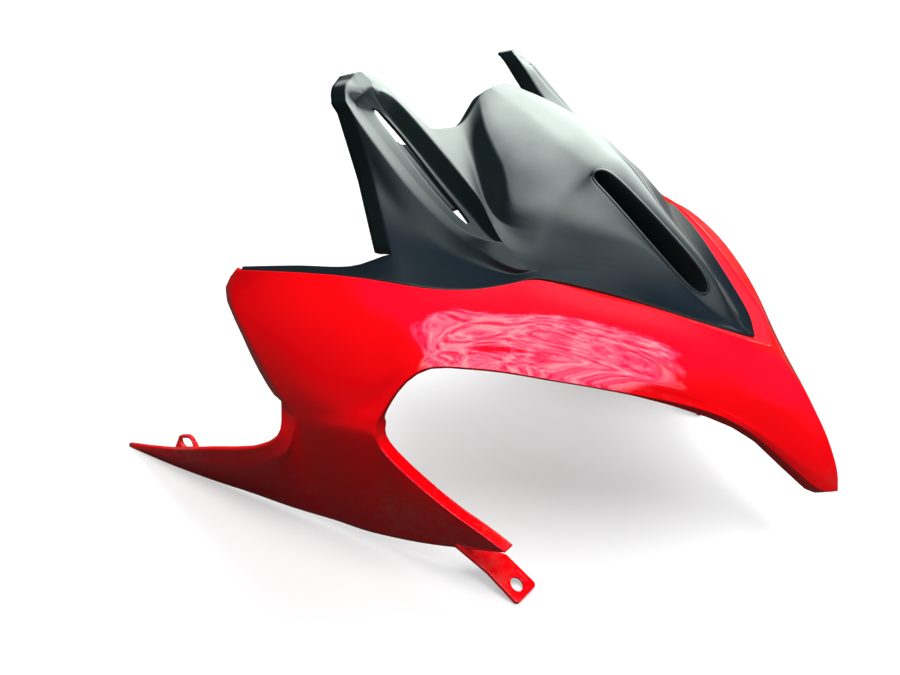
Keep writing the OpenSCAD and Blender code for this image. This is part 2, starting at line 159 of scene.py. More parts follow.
def makePlastic():
    material, tree = newMaterial("grainedBlackAbs")
    onPiece = addNode(tree, "ShaderNodeTexCoord").outputs["Object"]
    grain = addNode(tree, "ShaderNodeTexNoise", {"Scale": perMetre(plastic["grainMm"]), "Detail": 2.0},
                    {"Vector": onPiece})
    bump = addNode(tree, "ShaderNodeBump", {"Strength": plastic["grainStrength"], "Distance": plastic["grainDepth"]},
                   {"Height": grain.outputs[0]})
    # Painted highlight: faces that turn up towards the light are painted lighter, broken up by the mottle
    facing = addNode(tree, "ShaderNodeNewGeometry")
    skyward = addNode(tree, "ShaderNodeVectorMath", {"operation": "DOT_PRODUCT", 1: plastic["paintedLightWay"]},
                      {0: facing.outputs["Normal"]})
    mottle = addNode(tree, "ShaderNodeTexNoise", {"Scale": perMetre(plastic["mottleMm"]), "Detail": 4.0},
                     {"Vector": onPiece})
    shifted = addNode(tree, "ShaderNodeMath", {"operation": "MULTIPLY_ADD", 1: plastic["mottleShare"]},
                      {0: mottle.outputs[0], 2: skyward.outputs["Value"]})
    least, most = plastic["paintedLightRange"]
    paintedFacingShare = addNode(tree, "ShaderNodeMapRange",
                    {"interpolation_type": "SMOOTHSTEP", "From Min": least, "From Max": most},
                    {"Value": shifted.outputs[0]})
    # Painted highlight, by height as well: the ledge along the border lies lowest and keeps its black; the hood and the
    # blade crests stand highest and are painted light
    height = addNode(tree, "ShaderNodeVectorMath", {"operation": "DOT_PRODUCT", 1: (plastic["ledgeSlope"], 0.0, 1.0)},
                     {0: onPiece})
    low, high = plastic["paintedLightHeights"]
    paintedHeightShare = addNode(tree, "ShaderNodeMapRange",
                      {"interpolation_type": "SMOOTHSTEP", "From Min": low / 1000, "From Max": high / 1000},
                      {"Value": height.outputs["Value"]})
    share = addNode(tree, "ShaderNodeMath", {"operation": "MULTIPLY"}, {0: paintedFacingShare.outputs[0], 1: paintedHeightShare.outputs[0]})
    tone = addNode(tree, "ShaderNodeMix", {"data_type": "RGBA", 6: srgb(plastic["base"]), 7: srgb(plastic["paintedLitTone"])},
                   {0: share.outputs[0]})
    shader = addNode(tree, "ShaderNodeBsdfPrincipled", {
        "Roughness": plastic["roughness"], "Specular IOR Level": plastic["specular"],
        "Specular Tint": srgb(plastic["mirrorTint"]),
    }, {"Base Color": tone.outputs[2], "Normal": bump.outputs[0]})
    addNode(tree, "ShaderNodeOutputMaterial", {}, {"Surface": shader.outputs[0]})
    return material


redPaint = makePaint()
blackPlastic = makePlastic()
print("materials made")

# Both mouldings are drawn on the CAD source's own rails: millimetres, X forward, w outward, Z up
origin = Vector((78, 0, 6))
focus = Vector((-20, 0, 80))  # depths are measured towards this point behind the fairing
skin = {"rimCrease": 0.7, "levels": 2, "weld": 0.00001}


def toMetres(p):
    return (p - origin) / 1000


def rail(*points):
    return [Vector(p) for p in points]


def curveAt(points, t):
    last = len(points) - 1
    i = max(0, min(math.floor(t), last - 1))
    f = t - i
    b, c = points[i], points[i + 1]
    a = points[i - 1] if i > 0 else 2 * b - c
    d = points[i + 2] if i < last - 1 else 2 * c - b
    return b + f / 2 * (c - a + f * (2 * a - 5 * b + 4 * c - d + f * (3 * (b - c) + d - a)))


def outwards(p):
    return (p - focus).normalized()


def ramp(t, start, end):
    s = max(0.0, min(1.0, (t - start) / (end - start)))
    return s * s * (3 - 2 * s)


def newCage():
    return {"points": [], "places": {}, "faces": [], "creases": {}}


def corner(cage, p):
    key = (round(p.x, 2), round(p.y, 2), round(p.z, 2))
    if key not in cage["places"]:
        cage["places"][key] = len(cage["points"])
        cage["points"].append(p.copy())
    return cage["places"][key]


def addGrid(cage, rows, keep=None):
    for i in range(len(rows) - 1):
        for j in range(len(rows[0]) - 1):
            if keep and not keep(i, j):
                continue
            ring = [rows[i][j], rows[i][j + 1], rows[i + 1][j + 1], rows[i + 1][j]]
            ring = list(dict.fromkeys(corner(cage, p) for p in ring))
            if len(ring) > 2:
                cage["faces"].append(ring)


def addCrease(cage, line, value):
    for p, q in zip(line, line[1:]):
        edge = tuple(sorted((corner(cage, p), corner(cage, q))))
        cage["creases"][edge] = value


def addMirror(cage):
    twin = [corner(cage, Vector((p.x, -p.y, p.z))) for p in list(cage["points"])]
    cage["faces"] += [[twin[i] for i in reversed(ring)] for ring in list(cage["faces"])]
    for (a, b), value in list(cage["creases"].items()):
        cage["creases"][tuple(sorted((twin[a], twin[b])))] = value


def settle(piece):
    bpy.context.view_layer.update()
    plain = bpy.data.meshes.new_from_object(piece.evaluated_get(bpy.context.evaluated_depsgraph_get()))
    piece.modifiers.clear()
    piece.data = plain
    return piece


def subdivide(piece, levels):
    smooth = piece.modifiers.new("smooth", "SUBSURF")
    smooth.levels = levels
    smooth.render_levels = levels


def faceOutwards(mesh):
    whole = bmesh.new()
    whole.from_mesh(mesh)
    bmesh.ops.recalc_face_normals(whole, faces=whole.faces)
    middle = toMetres(focus)
    if sum(f.calc_area() * f.normal.dot(f.calc_center_median() - middle) for f in whole.faces) < 0:
        bmesh.ops.reverse_faces(whole, faces=whole.faces)
    for face in whole.faces:
        face.smooth = True
    whole.to_mesh(mesh)
    whole.free()


def merge(piece, others):
    whole = bmesh.new()
    whole.from_mesh(piece.data)
    for other in others:
        whole.from_mesh(other)
    whole.to_mesh(piece.data)
    whole.free()
    return piece


def shell(name, cage, thickness, material):
    mesh = bpy.data.meshes.new(name)
    mesh.from_pydata([toMetres(p) for p in cage["points"]], [], cage["faces"])
    tucked = mesh.attributes.new("crease_edge", "FLOAT", "EDGE")
    for edge in mesh.edges:
        tucked.data[edge.index].value = cage["creases"].get(tuple(sorted(edge.vertices)), 0.0)
    mesh.materials.append(material)
    faceOutwards(mesh)
    piece = addObject(name, mesh)
    wall = piece.modifiers.new("wall", "SOLIDIFY")
    wall.thickness = thickness / 1000
    wall.offset = -1
    wall.edge_crease_rim = skin["rimCrease"]
    wall.edge_crease_outer = skin["rimCrease"]
    wall.edge_crease_inner = skin["rimCrease"]
    subdivide(piece, skin["levels"])
    return settle(piece)


# Black screen panel. A span gives the stations where a form starts and ends: 0 is the front tip, 5 the kink
# in the border, 10 the hood's rear rim and 13 the blade's top.
panel = {
    "wall": 2.8,
    "bladeReturn": 14,
    "hoodReturn": 6,
    "returnDrop": 3,
    "returnShare": 0.15,  # where the bend round the edge ends
    "returnCrease": 0.35,
    "crown": 3.6,  # height of the ridge along the spine
    "flare": [0, 1.5, 3, 4.5, 5, 3, 1.5],  # hollow before the border turns out, a station each
    "bladeDip": [0, 0, 0, 0, 0, 1, 4, 7, 8, 8, 5],  # how far the face outside the blade stands in
    "dipWay": (0.62, 0.73, 0.27),
    "troughDepth": 11,
    "troughSpan": (8, 11.35),
    "troughEnds": (1.25, 0.75),  # length of its rounded foot and top
    "slotSpan": (8, 11.5),
    "slotPlace": [0.43, 0.36, 0.29, 0.3, 0.34],  # its middle across the trough's floor, a station each
    "slotHalf": 0.18,
    "ventSpan": (2.55, 5.6),
    "ventHalf": 0.44,
    "ventPoints": 56,
    "ventDepth": 18,
    "beadHeight": 0.8,
    "beadWidth": 2.6,
}
panelBorder = rail((260, 0, 158), (250, 15, 165), (234, 31, 173), (213, 50, 183), (185, 75, 195),
                   (157, 98, 203), (146, 111, 201), (133, 127, 199), (120, 139, 199), (106, 149, 200),
                   (92, 157, 202), (66, 169, 204), (33, 183, 203), (0, 198, 201))
panelSpine = rail((260, 0, 158), (250, 0, 163), (238, 0, 175), (219, 0, 197), (192, 0, 220))
ventInner = rail((260, 0, 158), (250, 2, 162), (239, 3, 174), (220, 4, 196), (191, 6, 221))
ventOuter = rail((260, 0, 158), (250, 5, 161), (236, 10, 171), (215, 13, 187), (186, 15, 211))
panelRows = [
    rail((165, 0, 244), (160, 12, 247), (154, 21, 240), (153, 55, 228), (152, 70, 219), (152, 77, 215),
         (153, 83, 212), (155, 88, 209), (156, 91, 207), (157, 94, 206), (157, 96, 205), (157, 98, 203)),
    rail((146, 0, 259), (144, 15, 257), (140, 32, 251), (138, 68, 235), (138, 80, 224), (138, 88, 218),
         (140, 94, 216), (144, 101, 211), (144, 104, 208), (145, 107, 205), (146, 109, 204), (146, 111, 201)),
    rail((126, 0, 272), (125, 16, 270), (123, 36, 263), (121, 76, 238), (119, 85, 227), (119, 90, 226),
         (121, 95, 229), (127, 107, 220), (125, 110, 215), (128, 118, 210), (131, 124, 206), (133, 127, 199)),
    rail((106, 0, 282), (105, 15, 280), (104, 32, 274), (102, 62, 256), (99, 76, 234), (102, 84, 238),
         (105, 91, 243), (101, 107, 227), (98, 113, 227), (107, 126, 217), (115, 135, 210), (120, 139, 199)),
    rail((82, 0, 291), (81, 12, 289), (80, 25, 285), (77, 46, 275), (78, 63, 257), (80, 76, 259),
         (82, 87, 258), (68, 107, 248), (66, 115, 250), (83, 131, 231), (98, 144, 215), (106, 149, 200)),
    rail((58, 0, 297), (57, 9, 296), (56, 14, 294), (54, 22, 290), (57, 48, 274), (52, 72, 275),
         (54, 84, 278), (30, 107, 279), (21, 114, 289), (49, 127, 252), (84, 151, 217), (92, 157, 202)),
]
bladeRows = [
    rail((33, 77, 290), (37, 84.5, 291), (16, 106, 292), (13, 111, 297)),
    rail((18, 81.5, 303), (25, 88, 300), (16, 102, 299), (8, 105, 303)),
    rail((7, 87, 309), (7, 90, 310), (5, 94, 309), (5, 98, 306)),
]
tailEdge = rail((60, 161, 207), (29, 177, 205), (-3, 194, 202))

borderRail = 11


def panelRails():
    rows = []
    for spine, inner, outer, edge in zip(panelSpine, ventInner, ventOuter, panelBorder):
        rows.append([spine, inner, outer] + [outer.lerp(edge, k / 9) for k in range(1, 10)])
    rows += panelRows
    # The face dips before it turns out to the border
    for u, depth in enumerate(panel["flare"]):
        start = 2 if u < 5 else 4
        for k in range(start + 1, borderRail):
            share = (k - start) / (borderRail - start)
            rows[u][k] = rows[u][k] - depth * math.sin(math.pi * share ** 1.5) * outwards(rows[u][k])
    # Outside each blade the face stands steep before it sweeps out to the border
    for row, depth in zip(rows, panel["bladeDip"]):
        for k, share in ((9, 1), (10, 0.95)):
            row[k] = row[k] - depth * share * Vector(panel["dipWay"])
    # Rails 5 to 8 run up the blade, 9 and 10 run back with the tail, and the others go on past the rear rim
    lines = []
    for r in range(borderRail + 1):
        line = [row[r] for row in rows]
        if 5 <= r <= 8:
            line += [row[r - 5] for row in bladeRows]
        elif r == 9:
            line += [(row[3] + edge) / 2 for row, edge in zip(bladeRows, tailEdge)]
        elif r == 10:
            line += tailEdge
        elif r == borderRail:
            line = panelBorder
        else:
            line += [line[10] - Vector((k, 0, 0)) for k in (1, 2, 3)]
        lines.append(line)
    return lines


rails = panelRails()


def across(u):
    return [curveAt(line, u) for line in rails]


# Half width of an opening with flat ends, as a share of its column
def oblong(u, span):
    half = (span[1] - span[0]) / 2
    return math.sqrt(max(0.16, 1 - min(1, abs(u - span[0] - half) / half) ** 6))


def troughWidth(u):
    (start, end), (foot, top) = panel["troughSpan"], panel["troughEnds"]
    s = max(0, (start - u) / foot, (u - end) / top)
    return math.sqrt(max(0, 1 - s * s))


def panelRow(u):
    b = across(u)
    e = panel["ventHalf"] * oblong(u, panel["ventSpan"])
    g = troughWidth(u)
    # Where there is no trough its columns draw together, and they spread again towards the tip and the top
    spread = max(g, ramp(6.6 - u, 0, 1), ramp(u, 12.12, 12.5), 0.05 + 0.35 * ramp(u, 11, 11.6))
    rim = (b[7] - b[6]) * (1 - spread) / 2
    inner, outer = b[6] + rim, b[7] - rim
    drop = Vector((0, 0, panel["troughDepth"] * g))
    low = inner + (outer - inner) * 0.2 - drop
    high = outer - (outer - inner) * 0.04 - drop * 0.2
    slot = panel["slotHalf"] * oblong(u, panel["slotSpan"])
    middle = curveAt(panel["slotPlace"], u - panel["slotSpan"][0])
    crown = panel["crown"] * ramp(u, 1.4, 2.6) * ramp(6.4 - u, 0, 1) * Vector((0, 0, 1))
    return [b[0] + crown, curveAt(b, 0.5) + crown / 2, curveAt(b, 1.5 - e), curveAt(b, 1.5 + e),
            curveAt(b, 2.35), curveAt(b, 2.7), b[3], curveAt(b, 3.35), curveAt(b, 3.7), b[4],
            b[4].lerp(b[5], 0.5), b[5], inner, inner.lerp(low, 0.5), low, low.lerp(high, middle - slot),
            low.lerp(high, middle + slot), high, outer, b[8], b[8].lerp(b[9], 0.12), b[8].lerp(b[9], 0.5),
            b[9], b[9].lerp(b[10], 0.5), b[10], b[10].lerp(b[11], 0.6), b[11]]


# Columns of a panel row, counted from the spine
ventFrom, hoodEdge, valleyFoot, bladeInner, rimInner, wallFoot = 2, 6, 9, 11, 12, 14
slotFrom, rimHigh, rimOuter, softEdge, tailFrom = 15, 17, 18, 19, 24
panelU = [0, 0.3, 0.6, 1, 1.4, 1.8, 2.15, 2.4, 2.55, 2.75, 3, 3.3, 3.6, 3.9, 4.2, 4.5, 4.75, 5, 5.2, 5.4, 5.6, 5.8,
          6, 6.2, 6.45, 6.7, 6.9, 7.1, 7.35, 7.6, 7.8, 8, 8.12, 8.3, 8.6, 8.9, 9.2, 9.5, 9.75, 10, 10.25, 10.5,
          10.8, 11.05, 11.25, 11.4, 11.5, 11.65, 11.8, 11.95, 12.05, 12.15, 12.3, 12.5, 12.7, 12.85, 12.95, 13]
grid = [panelRow(u) for u in panelU]
rimRow = panelU.index(10)
troughEnd = panelU.index(11.95)
lastRow = len(panelU) - 1


def panelCell(i, j):
    u = panelU[i]
    if i >= rimRow and not (bladeInner <= j < softEdge or j >= tailFrom):
        return False
    if j == ventFrom and panel["ventSpan"][0] <= u < panel["ventSpan"][1]:
        return False
    return not (j == slotFrom and panel["slotSpan"][0] <= u < panel["slotSpan"][1])


# Rear edge of the panel, from the tail, round the blade, to the middle of the hood
returnPath = [(rimRow, j) for j in range(tailFrom, softEdge, -1)]
returnPath += [(i, softEdge) for i in range(rimRow, lastRow)]
returnPath += [(lastRow, j) for j in range(softEdge, bladeInner, -1)]
returnPath += [(i, bladeInner) for i in range(lastRow, rimRow, -1)]
returnPath += [(rimRow, j) for j in range(bladeInner, -1, -1)]


def returnStep(i, j):
    reach = panel["hoodReturn"] if j < bladeInner else panel["bladeReturn"]
    if (i, j) == (rimRow, bladeInner):
        reach = (panel["hoodReturn"] + panel["bladeReturn"]) / 2
    return Vector((-reach, 0, -panel["returnDrop"]))


panelCage = newCage()
addGrid(panelCage, grid, panelCell)
edgeLine = [grid[i][j] for i, j in returnPath]
backLine = [grid[i][j] + returnStep(i, j) for i, j in returnPath]
midLine = [p.lerp(q, panel["returnShare"]) for p, q in zip(edgeLine, backLine)]
addGrid(panelCage, [edgeLine, midLine, backLine])
addCrease(panelCage, edgeLine, panel["returnCrease"])
# Each crease grows from nothing to its full value between two stations, and runs to its last row
for column, start, end, value, last in ((hoodEdge, 6.2, 7.6, 1.0, rimRow), (valleyFoot, 7, 9, 0.3, rimRow),
                                        (bladeInner, 6.6, 8, 0.6, lastRow - 4), (rimInner, 6.5, 7.4, 0.8, troughEnd),
                                        (wallFoot, 6.5, 7.4, 0.7, troughEnd), (rimHigh, 6.5, 7.4, 0.6, troughEnd),
                                        (rimOuter, 6.5, 7.4, 0.5, troughEnd)):
    for i in range(last):
        addCrease(panelCage, [grid[i][column], grid[i + 1][column]], value * ramp(panelU[i], start, end))
addMirror(panelCage)


# The outline of a vent, moved aside and out of the face
def ventLoop(aside, out):
    (start, end), count = panel["ventSpan"], panel["ventPoints"]
    loop = []
    for k in range(count):
        turn = 2 * math.pi * k / count
        s = -math.cos(turn)
        half = math.copysign(math.sqrt(max(0, 1 - s ** 6)), math.sin(turn)) * 0.5
        u = (start + end) / 2 + s * (end - start) / 2
        loop.append(curveAt(across(u), 1.5 + half))
    shaped = []
    for k, p in enumerate(loop):
        along = (loop[(k + 1) % count] - loop[k - 1]).normalized()
        shaped.append(p + aside * along.cross(outwards(p)) + out * outwards(p))
    return shaped


# Each vent has a raised bead round it and a thin sleeve behind, of one moulding with the panel
def ventSleeve():
    width, rim, deep, count = panel["beadWidth"], panel["beadHeight"], panel["ventDepth"], panel["ventPoints"]
    profile = [(-width * 0.5, -1.5), (-width * 0.5, rim * 0.35), (-width * 0.25, rim), (width * 0.25, rim),
               (width * 0.5, rim * 0.35), (width * 0.55, -2.5), (width * 0.6, -deep), (-width * 0.2, -deep),
               (-width * 0.3, -4)]
    whole = bmesh.new()
    rings = [[whole.verts.new(toMetres(p)) for p in ventLoop(aside, out)] for aside, out in profile]
    for a, b in zip(rings, rings[1:] + rings[:1]):
        for k in range(count):
            whole.faces.new((a[k], a[(k + 1) % count], b[(k + 1) % count], b[k]))
    bmesh.ops.recalc_face_normals(whole, faces=whole.faces)
    for face in whole.faces:
        face.smooth = True
    mesh = bpy.data.meshes.new("ventSleeve")
    whole.to_mesh(mesh)
    whole.free()
    mesh.materials.append(blackPlastic)
    holder = addObject("ventSleeve", mesh)
    subdivide(holder, 1)
    half = settle(holder).data
    bpy.data.objects.remove(holder)
    twin = half.copy()
    twin.transform(Matrix.Scale(-1, 4, (0, 1, 0)))
    twin.flip_normals()
    return [half, twin]


# Red cowl: a ledge under the panel, a channel round it, the face, and the arms that carry the tabs
cowl = {
    "wall": 3,
    "ledgeGap": 0.6,
    "ledgeShare": 0.6,
    "channelShare": 0.62,
    "channelDepth": 2.4,
    "armBulge": 14,
    "armShares": (0, 0.12, 0.35, 0.65, 0.88, 1),  # from the crease down to the bottom edge
    "armSteps": 12,  # along its crease
    "frontSteps": 10,  # along its front edge
    "flangeShare": 0.2,  # where the bend into a return flange ends
    "edgeCrease": 0.6,
    "columnCreases": ((1, 0.5), (2, 0.6), (4, 0.45)),  # ledge, channel and lip
}
cowlRails = [
    rail((271, 0, 154), (260, 20, 163), (246, 33, 170), (218, 56, 183), (190, 80, 193), (159, 100, 203),
         (148, 113, 202), (135, 129, 200), (122, 141, 200), (108, 151, 201), (94, 159, 203), (68, 171, 205),
         (34, 185, 204), (0, 200, 202)),
    rail((283, 0, 144), (274, 19, 144), (256, 37, 157), (231, 62, 173), (195, 94, 188), (164, 113, 197),
         (152, 124, 196), (138, 138, 195), (125, 151, 193), (110, 162, 191), (96, 171, 190), (70, 182, 191),
         (32, 195, 188), (-7, 204, 182)),
    rail((295, 0, 132), (288, 18, 128), (265, 39, 141), (239, 65, 161), (203, 99, 177), (172, 122, 187),
         (158, 132, 187), (142, 146, 186), (128, 158, 183), (113, 170, 180), (100, 178, 177), (76, 190, 176),
         (42, 202, 168), (13, 207, 157)),
    rail((306, 0, 117), (298, 16, 113), (272, 39, 127), (246, 66, 148), (209, 100, 164), (175, 126, 175),
         (160, 138, 177), (143, 150, 177), (129, 163, 177), (115, 175, 172), (104, 182, 166), (85, 194, 160),
         (58, 205, 146), (33, 207, 132)),
    rail((316, 0, 102), (307, 15, 97), (277, 38, 117), (251, 65, 139), (214, 100, 157), (179, 130, 169),
         (162, 143, 172), (145, 154, 172), (130, 167, 172), (117, 178, 166), (108, 185, 156), (94, 194, 147),
         (72, 204, 134), (48, 205, 117)),
    rail((325.5, 0, 82), (315, 13, 82), (281, 36, 112), (255, 62, 134), (218, 99, 151), (182, 133, 164),
         (164, 146, 168), (146, 157, 168), (130, 170, 168), (119, 180, 161), (111, 186, 149), (102, 192, 138),
         (92, 199, 129), (80, 203, 120)),
    rail((329, 0, 67), (316.5, 12.5, 71.5), (283, 34, 106), (259, 60, 129), (222, 97, 145), (185, 135, 159),
         (165, 149, 163), (147, 160, 164), (130, 172, 164), (120, 182, 156), (113, 189, 142), (109, 194, 131),
         (108, 195, 126), (108, 196, 121)),
]
armCrease = rail((-171, 205.5, 6), (-108, 206, 24), (-50, 206, 45.5), (-1, 206, 63), (31, 206, 80), (43, 206, 96),
                 (48, 205, 117))
armFront = rail((108, 196, 121), (109, 195, 114), (117, 192, 104), (130, 184, 88), (148, 176, 72), (168, 169, 60),
                (182, 164, 50))
armBottom = rail((-171, 205.5, 6), (-119.5, 200, 6.5), (-75, 193, 7), (-35, 186, 8.5), (5, 180, 10), (42, 174, 13),
                 (68, 171, 15), (92, 168, 19), (118, 165, 25), (144, 161, 32), (164, 161, 40), (182, 164, 50))
lowerStep = rail((-3, 0, -1), (-6, -2, -5), (-4, -3, -5), (-3, -2, -6), (0, -2, -2), (0, -2, -2), (0, -2, -2),
                 (0, -2, -2), (0, -2, -2), (0, -2, -2), (0, -3, -1), (0, -6, 0), (0, -9, 0), (0, -9, 0))
rearStep = rail((-2, -1, 2), (4, 2, 9), (5, 3, 14), (-5, 1, 15), (-17, -3, 4), (-17, -4, 1), (-12, -4, 0),
                (-9, -4, 0), (-4, -3, 0))


def curve(points, steps):
    return [curveAt(points, k * (len(points) - 1) / steps) for k in range(steps + 1)]


def inward(p, depth):
    return p - depth * outwards(p)


cowlU = [0, 0.2, 0.45, 0.7] + [1 + k / 2 for k in range(25)]
cowlV = [0.12, 0.4, 0.8, 1.2, 1.6, 2, 2.4, 2.8, 3.3, 3.7, 4, 4.33, 4.67, 5, 5.33, 5.67, 6]
lipCol = 4
seamCol = lipCol + 1 + cowlV.index(4)  # where the arm joins the rear end of the face


def cowlRow(u):
    b = across(u)
    down = [curveAt(line, u) for line in cowlRails]
    deep = panel["wall"] + cowl["ledgeGap"]
    edge = inward(b[11], deep)
    foot = inward(down[0], cowl["channelDepth"])
    return [inward(b[11].lerp(b[10], cowl["ledgeShare"]), deep), edge, edge.lerp(foot, cowl["channelShare"]),
            foot.lerp(down[0], 0.35), down[0]] + [curveAt(down, v) for v in cowlV]


cowlGrid = [cowlRow(u) for u in cowlU]
seam = cowlGrid[-1][seamCol:]
armSteps = cowl["armSteps"]
armTop = curve(armCrease, armSteps) + seam[1:] + curve(armFront, cowl["frontSteps"])[1:]
armLast = len(armTop) - 1
armLow = curve(armBottom, armLast)
armGrid = []
for v in cowl["armShares"]:
    armGrid.append([a.lerp(b, v) + Vector((0, cowl["armBulge"] * v * (1 - v) * math.sin(math.pi * i / armLast), 0))
                    for i, (a, b) in enumerate(zip(armTop, armLow))])
lowerCrease = [row[-1] for row in cowlGrid] + armTop[armSteps + len(seam):]
lowerFree = [p + curveAt(lowerStep, cowlU[min(i, len(cowlU) - 1)]) for i, p in enumerate(lowerCrease)]
rearCrease = armTop[:armSteps + 1] + [cowlGrid[-1][j] for j in range(seamCol - 1, lipCol - 1, -1)]
rearLast = len(rearCrease) - 1
rearFree = [p + curveAt(rearStep, i / 3 if i < armSteps else 4 + 4 * (i - armSteps) / (rearLast - armSteps))
            for i, p in enumerate(rearCrease)]

cowlCage = newCage()
addGrid(cowlCage, cowlGrid)
addGrid(cowlCage, armGrid)
for edge, free in ((lowerCrease, lowerFree), (rearCrease, rearFree)):
    addGrid(cowlCage, [edge, [p.lerp(q, cowl["flangeShare"]) for p, q in zip(edge, free)], free])
    addCrease(cowlCage, edge, cowl["edgeCrease"])
for column, value in cowl["columnCreases"]:
    addCrease(cowlCage, [row[column] for row in cowlGrid], value)
addCrease(cowlCage, armLow, cowl["edgeCrease"])
addMirror(cowlCage)


# A flat plate with rounded edges, from closed outlines: side is 1 for left and -1 for right, flip turns it over
def plate(loops, thickness, lift, place, turn, side, flip, rounding=0.3):
    flat = bpy.data.curves.new("plate", "CURVE")
    flat.dimensions = "2D"
    flat.fill_mode = "BOTH"
    flat.extrude = (thickness / 2 - rounding) / 1000
    flat.bevel_depth = rounding / 1000
    flat.bevel_resolution = 2
    flat.offset = -rounding / 1000
    for loop in loops:
        spline = flat.splines.new("POLY")
        spline.points.add(len(loop) - 1)
        for point, (x, y) in zip(spline.points, loop):
            point.co = (x / 1000, y * flip / 1000, 0, 1)
        spline.use_cyclic_u = True
    holder = addObject("plate", flat)
    settled = bpy.data.meshes.new_from_object(holder.evaluated_get(bpy.context.evaluated_depsgraph_get()))
    bpy.data.objects.remove(holder)
    tilt = Euler([math.radians(a) for a in turn]).to_matrix().to_4x4()
    home = toMetres(Vector(place))
    lifted = Matrix.Translation((0, 0, lift / 1000))
    settled.transform(Matrix.Translation((home.x, home.y * side, home.z)) @ tilt @ lifted)
    whole = bmesh.new()
    whole.from_mesh(settled)
    bmesh.ops.remove_doubles(whole, verts=whole.verts, dist=skin["weld"])
    bmesh.ops.recalc_face_normals(whole, faces=whole.faces)
    whole.to_mesh(settled)
    whole.free()
    settled.materials.clear()
    settled.materials.append(redPaint)
    return settled


def arc(middle, radius, start, end, steps):
    turns = [math.radians(start + (end - start) * k / steps) for k in range(steps + 1)]
    return [(middle[0] + radius * math.cos(t), middle[1] + radius * math.sin(t)) for t in turns]


# Fixing tab: a sloping plate with a sunk square seat round its hole
tab = {"width": 22, "end": 9, "corner": 3, "thickness": 3, "seat": 1, "bore": 9.6, "slope": 32, "place": (180.8, 147)}
tabSide = tab["width"] / 2 - tab["corner"]
tabEnd = tab["end"] - tab["corner"]
tabOutline = (arc((tabEnd, -tabSide), tab["corner"], -90, 0, 6) + arc((tabEnd, tabSide), tab["corner"], 0, 90, 6)
              + [(-18, 9), (-34, -3), (-46, -12), (-44, -17), (-18, -12)])
tabHole = arc((0, 0), tab["bore"] / 2, 0, 354, 59)
tabSeat = (arc((3, -5.5), 1.5, -90, 0, 4) + arc((3, 5.5), 1.5, 0, 90, 4) + arc((-5.5, 5.5), 1.5, 90, 180, 4)
           + arc((-5.5, -5.5), 1.5, 180, 270, 4))
slope = math.radians(tab["slope"])
tabRise = tab["end"] * math.sin(slope) + tab["thickness"] / 2 * math.cos(slope)  # its lowest edge is on the ground
tabPlace = (*tab["place"], origin.z + tabRise)
tabLow = tab["thickness"] - tab["seat"]

# Cable ear on the arm's top edge: a flat plate with an oblong eye
ear = {"eye": 8, "rim": 2.5, "thickness": 3, "reach": 4.5, "turn": (90, -22, 0), "place": (-89.6, 199.8, 39.6)}
earR = ear["eye"] / 2 + ear["rim"]
earOutline = ([(12, -9), (12, 0), (11, 0)] + arc((ear["reach"], 0), earR, 0, 90, 10)
              + arc((-ear["reach"], 0), earR, 90, 140, 6) + [(-19, -2.5), (-19, -9)])
earEye = arc((ear["reach"], 0), ear["eye"] / 2, -90, 90, 16) + arc((-ear["reach"], 0), ear["eye"] / 2, 90, 270, 16)

smallPlates = []
for side in (1, -1):
    for loops, thickness, lift in (((tabOutline, tabHole), tabLow, -tab["seat"] / 2),
                                   ((tabOutline, tabSeat), tab["seat"] + 0.4, tabLow / 2 - 0.2)):
        smallPlates.append(plate(loops, thickness, lift, tabPlace, (0, tab["slope"], 0), side, -side))
    smallPlates.append(plate((earOutline, earEye), ear["thickness"], 0, ear["place"], ear["turn"], side, 1, 0.6))

cowlPiece = merge(shell("cowlSkin", cowlCage, cowl["wall"], redPaint), smallPlates)
panelPiece = merge(shell("panelSkin", panelCage, panel["wall"], blackPlastic), ventSleeve())
print("mouldings made", len(cowlPiece.data.polygons), len(panelPiece.data.polygons))
for name, piece, finish in (("nose_cowl", cowlPiece, "red_gloss"), ("screen_panel", panelPiece, "black_grain")):
    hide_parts(name)
    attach(piece, "root")

for name in ("slot_rail_left", "slot_rail_right"):
    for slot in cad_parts[name].material_slots:
        slot.material = blackPlastic

# Camera at the photograph's viewpoint: 32 mm lens on a 36 mm wide frame
cameraSet = {"place": (0.3139, -0.4874, 0.3715), "azimuth": 38.0, "elevation": 25.4, "lens": 32.0, "sensor": 36.0}
cameraData = bpy.data.cameras.new("photoCamera")
cameraData.lens = cameraSet["lens"]
cameraData.sensor_width = cameraSet["sensor"]
cameraData.clip_start = 0.01
camera = addObject("photoCamera", cameraData)
camera.location = cameraSet["place"]
camera.rotation_euler = (math.radians(90 - cameraSet["elevation"]), 0, math.radians(cameraSet["azimuth"]))
bpy.context.scene.camera = camera
print("camera placed")

# Floor: white to the eye, darker for the light that it would throw back up under the arms
floorSet = {
    "half": 20.0,
    "seen": "#b4b4b4",
    "bounce": "#333333",
    "glow": (0.4, 0.97),  # beside the fairing, and far off where no shadow falls
    "glowFade": (0.6, 3.0),  # metres from the middle
}
floorMesh = bpy.data.meshes.new("floor")
corners = [(x * floorSet["half"], y * floorSet["half"], 0) for x, y in ((-1, -1), (1, -1), (1, 1), (-1, 1))]
floorMesh.from_pydata(corners, [], [(0, 1, 2, 3)])
floor = addObject("floor", floorMesh)
floorMaterial, tree = newMaterial("paleFloor")
path = addNode(tree, "ShaderNodeLightPath")
bounce = addNode(tree, "ShaderNodeBsdfDiffuse", {"Color": srgb(floorSet["bounce"])})
seen = addNode(tree, "ShaderNodeBsdfDiffuse", {"Color": srgb(floorSet["seen"])})
coords = addNode(tree, "ShaderNodeTexCoord")
away = addNode(tree, "ShaderNodeVectorMath", {"operation": "LENGTH"}, {0: coords.outputs["Object"]})
(near, far), (dim, full) = floorSet["glowFade"], floorSet["glow"]
